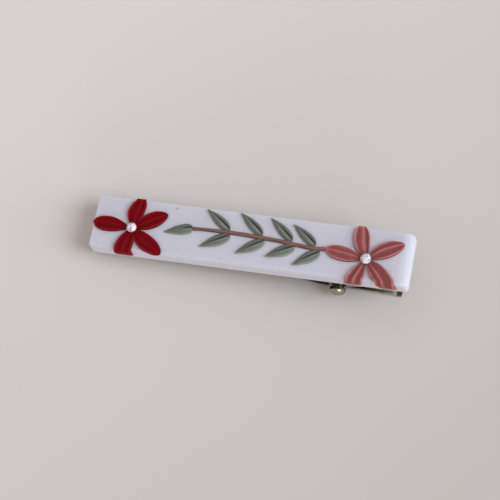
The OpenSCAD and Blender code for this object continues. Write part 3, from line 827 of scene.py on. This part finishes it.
def makeLeaf(name, node, base, leaf, look):
    chance = random.Random(name)
    seed, lean = chance.random(), chance.uniform(-look["leanReach"], look["leanReach"])
    ahead, across = turned(leaf["turn"]), turned(leaf["turn"] + 90)
    creasePlace = look["creasePlace"] + lean

    def place(u, s):
        t = (1 - math.cos(math.pi * u)) / 2
        half = look["width"] * leaf["width"] / 2 * swell(t, *look["swell"])
        foot = base + ahead * t * look["length"] * leaf["size"] + across * (half * s + leaf["shift"])
        foot.z = surfaceZ(foot.x, foot.y) + look["lift"]
        fading = 1 - smooth(t / look["creaseEnd"])
        crease = hump(s - creasePlace, look["creaseWidth"]) * fading
        ridge = hump(s - creasePlace - look["ridgeGap"], look["ridgeWidth"]) * fading
        outline = smooth((abs(s) - look["outlineStart"]) / look["outlineRun"])
        uneven = look["unevenness"] * noise.noise(Vector((t, s, seed)) * Vector(look["unevenScale"]))
        tall = look["height"] * mix(look["endShare"], 1, math.sin(math.pi * t))
        tall *= math.sqrt(max(0.0, 1 - abs(s) ** look["lobePower"]))
        # Painted highlights on the outline and the ridge, painted shade in the crease
        paintedLight = look["paintedLight"] + look["outlineHighlight"] * outline + look["ridgeHighlight"] * ridge
        thin = look["tipThin"] * smooth((t - 1) / look["tipThinRun"] + 1)
        paleShare = smooth((t - look["outlineThinStart"]) / look["outlineThinRun"])
        thin += look["outlineThin"] * outline * paleShare
        return dict(
            foot=foot, way=Vector((0, 0, 1)), height=tall * (1 - look["creaseDepth"] * crease) * (1 + uneven),
            paintedLight=clampUnit(paintedLight - look["creaseShade"] * crease), along=t, thin=clampUnit(thin),
        )

    piece = makeSkin(name, greenClay, place, look["cutsAlong"], look["cutsAcross"], seed)
    return placePiece(piece, upperBody, "green_clay", node)


def besideStem(station, row):
    reach = stemLook["width"] / 2 + stemLook["gap"] + leafLook["width"] * row["swellShare"]
    return onStem(station) + Vector((0, row["side"] * reach, 0))


def makeLeaves(look):
    tipBase = stemTip - Vector((stemLook["gap"], 0, 0))
    tipLook = dict(look, creaseEnd=tipLeaf["creaseEnd"], swell=tipLeaf["swell"])
    makeLeaf("tipLeaf", "tip_leaf", tipBase, tipLeaf, tipLook)
    for row in (upperRow, lowerRow):
        for number, leaf in enumerate(row["leaves"], 1):
            name, node = f"{row['name']}Leaf{number}", f"{row['name']}_leaf_{number}"
            makeLeaf(name, node, besideStem(leaf["station"], row), dict(leaf, width=row["width"]), look)


makeLeaves(leafLook)
print("stem and leaves made")


# Stones: rings of points hulled into facets, each facet painted a random brightness that stands in for
# reflected light
stoneLook = dict(
    redShare=0.94, roseShare=1.0, sides=8, girdleShare=0.3, waistShare=0.8, waistRise=0.48, tableShare=0.5,
    flatAngle=2, sharpAngle=5, glintLevels=(0.15, 0.6, 0.85, 1.0),
)


def makeStone(name, node, share, look):
    low, high = nodeBox(node)
    middle, radius, height = (low + high) / 2, (high.x - low.x) / 2 * share, high.z - low.z
    girdleZ = height * look["girdleShare"]
    waistZ = mix(girdleZ, height, look["waistRise"])
    sides = look["sides"]
    rings = (
        (2 * sides, radius, 0.0, 0.0),
        (2 * sides, radius, girdleZ, 0.0),
        (sides, radius * look["waistShare"], waistZ, 180 / sides),
        (sides, radius * look["tableShare"], height, 0.0),
    )
    bm = bmesh.new()
    for count, ringRadius, z, turn in rings:
        turning = Matrix.Rotation(math.radians(turn), 4, "Z")
        matrix = Matrix.Translation((middle.x, middle.y, low.z + z)) @ turning
        bmesh.ops.create_circle(bm, segments=count, radius=ringRadius, matrix=matrix)
    bmesh.ops.convex_hull(bm, input=bm.verts)
    bmesh.ops.delete(bm, geom=[e for e in bm.edges if not e.link_faces], context="EDGES")
    flatAngle = math.radians(look["flatAngle"])
    bmesh.ops.dissolve_limit(bm, angle_limit=flatAngle, verts=bm.verts, edges=bm.edges)
    table = max(bm.faces, key=lambda f: f.calc_center_median().z)
    bmesh.ops.poke(bm, faces=[table])
    bmesh.ops.recalc_face_normals(bm, faces=bm.faces)
    # Painted reflection: each facet is given a random brightness level
    glint = bm.faces.layers.float.new("paintedGlint")
    chance = random.Random(name)
    for f in bm.faces:
        f[glint] = chance.choice(look["glintLevels"])
    piece = makePiece(name, bm, foiledCrystal, sharpAngle=look["sharpAngle"])
    return placePiece(piece, upperBody, "crystal", node)


makeStone("redStone", "red_stone", stoneLook["redShare"], stoneLook)
makeStone("roseStone", "rose_stone", stoneLook["roseShare"], stoneLook)
print("stones made")


# Pressed steel: the clip's own arms with their burred edges eased; the shade stations give places along the
# clip and how much painted shade lies there, under the bar and as a painted dark reflection at the lever's
# end, while the lever's lip is left unshaded
plateLook = dict(edge=0.09, segments=3, edgeAngle=30, flatAngle=0.5, paintedShade=())
topArmLook = dict(plateLook, paintedShade=((-30, 0.1), (11, 0.1), (13.5, 0.6), (20, 0.6), (22, 0.2)))
lowerArmLook = dict(
    plateLook, edge=0.2,
    paintedShade=((-30, 0.1), (9, 0.1), (11.5, 0.7), (19, 0.7), (21, 0.5), (24.6, 0.5), (25, 0.0), (26.9, 0.0),
           (27.2, 0.95)),
)


def easedCopy(name, node, material, body, slot, look):
    bm = bmesh.new()
    bm.from_mesh(frame["nodes"][node].data)
    bmesh.ops.scale(bm, vec=(1 / mm, 1 / mm, 1 / mm), verts=bm.verts)
    bmesh.ops.remove_doubles(bm, verts=bm.verts, dist=weldGap)
    flatAngle = math.radians(look["flatAngle"])
    bmesh.ops.dissolve_limit(bm, angle_limit=flatAngle, verts=bm.verts, edges=bm.edges)
    # The mask of painted shade, blended between the listed stations along the clip
    if look["paintedShade"]:
        for station, _ in look["paintedShade"]:
            cutAcross(bm, (1, 0, 0), station)
        layer = bm.verts.layers.float.new("paintedShade")
        for v in bm.verts:
            v[layer] = between(look["paintedShade"], v.co.x)
    piece = makePiece(name, bm, material, sharpAngle=look["edgeAngle"])
    bevel = piece.modifiers.new("easedEdge", "BEVEL")
    bevel.width = look["edge"] * mm
    bevel.segments = look["segments"]
    bevel.limit_method = "ANGLE"
    bevel.angle_limit = math.radians(look["edgeAngle"])
    bevel.harden_normals = True
    return placePiece(piece, body, slot, node)


easedCopy("topArm", "top_arm", nickelPlate, upperBody, "nickel", topArmLook)
easedCopy("lowerArm", "lower_arm", nickelPlate, lowerBody, "nickel", lowerArmLook)
easedCopy("glueFilm", "glue_film", driedGlue, upperBody, "glue", plateLook)


# Hinge pin: half a side view spun round the pin's axis
pinLook = dict(
    radius=0.8, collarRadius=1.1, collarHeight=0.5, headRadius=1.5, headHeight=0.65, rimHeight=0.55,
    domeCuts=10, turns=64, sharpAngle=40, headShade=0.25, neckShade=0.9, neckSlack=0.01,
)


def makePin(look):
    top = nodeBox("hinge_pin")[1].y
    neck = top - look["headHeight"] - look["rimHeight"]
    shank = neck - look["collarHeight"]
    headRadius, collarRadius = look["headRadius"], look["collarRadius"]
    dome = (headRadius ** 2 + look["headHeight"] ** 2) / (2 * look["headHeight"])
    spread = math.asin(headRadius / dome)
    outline = [(0.0, top)]
    for k in range(1, look["domeCuts"] + 1):
        angle = spread * k / look["domeCuts"]
        outline.append((dome * math.sin(angle), top - dome * (1 - math.cos(angle))))
    outline += [(headRadius, neck), (collarRadius, neck), (collarRadius, shank), (look["radius"], shank)]
    outline += [(r, -y) for r, y in reversed(outline)]
    bm = bmesh.new()
    row = [bm.verts.new((pinMiddle.x + r, y, pinMiddle.z)) for r, y in outline]
    edges = [bm.edges.new(pair) for pair in zip(row, row[1:])]
    bmesh.ops.spin(
        bm, geom=row + edges, cent=pinMiddle, axis=(0, 1, 0), angle=2 * math.pi, steps=look["turns"],
        use_merge=True,
    )
    bmesh.ops.remove_doubles(bm, verts=bm.verts, dist=weldGap)
    bmesh.ops.recalc_face_normals(bm, faces=bm.faces)
    # Painted shade: deep on the neck under the bar, light on the head for its dark reflection
    layer = bm.verts.layers.float.new("paintedShade")
    for v in bm.verts:
        onHead = abs(v.co.y) > neck + look["neckSlack"]
        v[layer] = look["headShade"] if onHead else look["neckShade"]
    piece = makePiece("hingePin", bm, nickelPlate, sharpAngle=look["sharpAngle"])
    return placePiece(piece, upperBody, "nickel", "hinge_pin")


makePin(pinLook)


# Spring: a round section spun along the pin with a straight leg drawn from each end
springSizes = dict(
    wire=0.275, coil=1.275, turns=5, pitch=1.05, legLength=7.5, lowerSlope=1.83, upperSlope=12.94,
    sides=14, stepsPerTurn=28, sharpAngle=40,
)


def makeSpring(look):
    firstTurn = -90 - look["lowerSlope"]
    sweep = firstTurn - (90 + look["upperSlope"] - 360 * look["turns"])
    coilLength = sweep / 360 * look["pitch"]
    steps = round(sweep / 360 * look["stepsPerTurn"])
    start = math.radians(firstTurn)
    outward = Vector((math.cos(start), 0, math.sin(start)))
    half = Vector((0, coilLength / 2, 0))
    centre = pinMiddle + outward * look["coil"] - half
    section = Matrix((outward, (0, 1, 0), outward.cross((0, 1, 0)))).transposed().to_4x4()
    bm = bmesh.new()
    ring = bmesh.ops.create_circle(
        bm, segments=look["sides"], radius=look["wire"], matrix=Matrix.Translation(centre) @ section,
    )["verts"]
    ringEdges = bm.edges[:]
    swept = bmesh.ops.spin(
        bm, geom=ring + ringEdges, cent=pinMiddle, axis=(0, -1, 0), angle=-math.radians(sweep),
        steps=steps, dvec=(0, coilLength / steps, 0),
    )["geom_last"]
    lower, upper = math.radians(look["lowerSlope"]), math.radians(look["upperSlope"])
    legs = (
        (ringEdges, Vector((math.cos(lower), 0, -math.sin(lower)))),
        (onlyKind(swept, bmesh.types.BMEdge), Vector((math.cos(upper), 0, math.sin(upper)))),
    )
    for edges, way in legs:
        drawn = bmesh.ops.extrude_edge_only(bm, edges=edges)["geom"]
        ends = onlyKind(drawn, bmesh.types.BMVert)
        bmesh.ops.translate(bm, vec=way * look["legLength"], verts=ends)
        endEdges = [e for e in onlyKind(drawn, bmesh.types.BMEdge) if all(v in ends for v in e.verts)]
        bmesh.ops.contextual_create(bm, geom=endEdges)
    bmesh.ops.recalc_face_normals(bm, faces=bm.faces)
    piece = makePiece("torsionSpring", bm, springWire, sharpAngle=look["sharpAngle"])
    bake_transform(piece)
    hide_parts("spring")
    return piece


makeSpring(springSizes)
print("clip made")


# Table: the clip lies on its hinge and on the floor of its jaw, so the table slopes in the part's frame
tableLook = dict(
    tilt=5.64, reach=3.0, cuts=4, pale=(0.73, 0.707, 0.703), shade=(0.51, 0.479, 0.469),
    lightFalloff=(-4.7, 3.9, 0.0), middleShare=0.5, leastShare=0.15, mostShare=0.85,
    cloudScale=9.0, cloudNoise=(5.0, 0.6), cloud=0.12, roughness=0.85, shine=0.15,
)


def makeTable(look):
    material, tree, shader = newMaterial("paleTable")
    cloud = noiseValue(tree, scaledCoords(tree, look["cloudScale"]), *look["cloudNoise"])
    # Painted light: the colour falls off from pale to shade across the table, standing in for the light's
    # fall-off
    lightFalloff = coordsAgainst(tree, "DOT_PRODUCT", look["lightFalloff"])
    share = mathNode(tree, "ADD", lightFalloff, look["middleShare"])
    share = mathNode(tree, "ADD", share, swing(tree, cloud, look["cloud"]))
    share = mathNode(tree, "MAXIMUM", share, look["leastShare"])
    share = mathNode(tree, "MINIMUM", share, look["mostShare"])
    join(tree, mixColour(tree, share, look["shade"], look["pale"]), shader.inputs["Base Color"])
    shader.inputs["Roughness"].default_value = look["roughness"]
    shader.inputs["Specular IOR Level"].default_value = look["shine"]
    tilt = math.radians(look["tilt"])
    normal = Vector((math.sin(tilt), 0, math.cos(tilt)))
    depth = min(normal.dot(v.co) for v in frame["nodes"]["lower_arm"].data.vertices)
    bm = bmesh.new()
    bmesh.ops.create_grid(bm, x_segments=look["cuts"], y_segments=look["cuts"], size=look["reach"])
    bmesh.ops.rotate(bm, verts=bm.verts, matrix=Matrix.Rotation(tilt, 3, "Y"))
    bmesh.ops.translate(bm, verts=bm.verts, vec=normal * depth)
    mesh = bpy.data.meshes.new("table")
    bm.to_mesh(mesh)
    bm.free()
    mesh.materials.append(material)
    table = bpy.data.objects.new("table", mesh)
    bpy.context.scene.collection.objects.link(table)


makeTable(tableLook)


# Camera at the photograph's place: angles in degrees, sizes in millimetres, focal and frame in pixels
photoView = dict(
    azimuth=31.9, elevation=67.4, roll=-22.6, distance=330.0,
    right=0.29, up=1.11, under=2.2,  # the aim lies under the bar's face and off its middle
    focal=1789.0, frame=500.0, sensor=36.0, nearest=10.0,
)


def makeCamera(view):
    azimuth, elevation, roll = (math.radians(view[k]) for k in ("azimuth", "elevation", "roll"))
    flat = math.cos(elevation)
    back = Vector((math.sin(azimuth) * flat, -math.cos(azimuth) * flat, math.sin(elevation)))
    level = (-back).cross(Vector((0, 0, 1))).normalized()
    down = (-back).cross(level)
    right = level * math.cos(roll) - down * math.sin(roll)
    up = -(level * math.sin(roll) + down * math.cos(roll))
    place = Vector((0, 0, faceZ - view["under"])) + back * view["distance"]
    place -= right * view["right"] + up * view["up"]
    camera = bpy.data.cameras.new("photoCamera")
    camera.sensor_width = view["sensor"]
    camera.lens = camera.sensor_width * view["focal"] / view["frame"]
    camera.clip_start = view["nearest"] * mm
    eye = bpy.data.objects.new("photoCamera", camera)
    eye.matrix_world = Matrix.Translation(place * mm) @ Matrix((right, up, back)).transposed().to_4x4()
    bpy.context.scene.collection.objects.link(eye)
    bpy.context.scene.camera = eye


makeCamera(photoView)


# A cool window from beyond the lever's end, a low glow from its sill, a weak warm fill from the front
# and a warm room; places in degrees and metres
lampLook = dict(
    window=dict(azimuth=-7, elevation=38, distance=3.2, size=2.2, power=65.5, tint=(0.854, 0.954, 1.0)),
    sill=dict(azimuth=2, elevation=12, distance=1.2, size=0.6, power=2.7, tint=(0.94, 0.985, 1.0)),
    fill=dict(azimuth=-70, elevation=9, distance=1.2, size=0.45, power=2.8, tint=(1.0, 0.94, 0.86)),
)
roomLook = dict(seen=(0.5, 0.48, 0.45), seenStrength=1.0, ambient=(1.0, 0.9, 0.845), strength=0.565)


def makeLamp(name, look):
    elevation = math.radians(look["elevation"])
    way = turned(look["azimuth"]) * math.cos(elevation) + Vector((0, 0, math.sin(elevation)))
    lamp = bpy.data.lights.new(name, "AREA")
    lamp.shape = "DISK"
    lamp.size = look["size"]
    lamp.energy = look["power"]
    lamp.color = look["tint"]
    lampObject = bpy.data.objects.new(name, lamp)
    lampObject.location = way * look["distance"]
    lampObject.rotation_euler = way.to_track_quat("Z", "Y").to_euler()
    bpy.context.scene.collection.objects.link(lampObject)


# The room seen by the camera and in reflections is dimmer than the light it sheds
def makeRoom(look):
    world = bpy.data.worlds.new("paleRoom")
    world.use_nodes = True
    tree = world.node_tree
    rays = tree.nodes.new("ShaderNodeLightPath").outputs
    seen = mathNode(tree, "MAXIMUM", rays["Is Camera Ray"], rays["Is Glossy Ray"])
    seen = mathNode(tree, "MAXIMUM", seen, rays["Is Transmission Ray"])
    background = tree.nodes["Background"]
    join(tree, mixColour(tree, seen, look["ambient"], look["seen"]), background.inputs["Color"])
    strength = remap(tree, seen, look["strength"], look["seenStrength"])
    join(tree, strength, background.inputs["Strength"])
    bpy.context.scene.world = world


for name, look in lampLook.items():
    makeLamp(name, look)
makeRoom(roomLook)
bpy.context.scene.view_settings.view_transform = "Standard"
print("table, camera and light made")
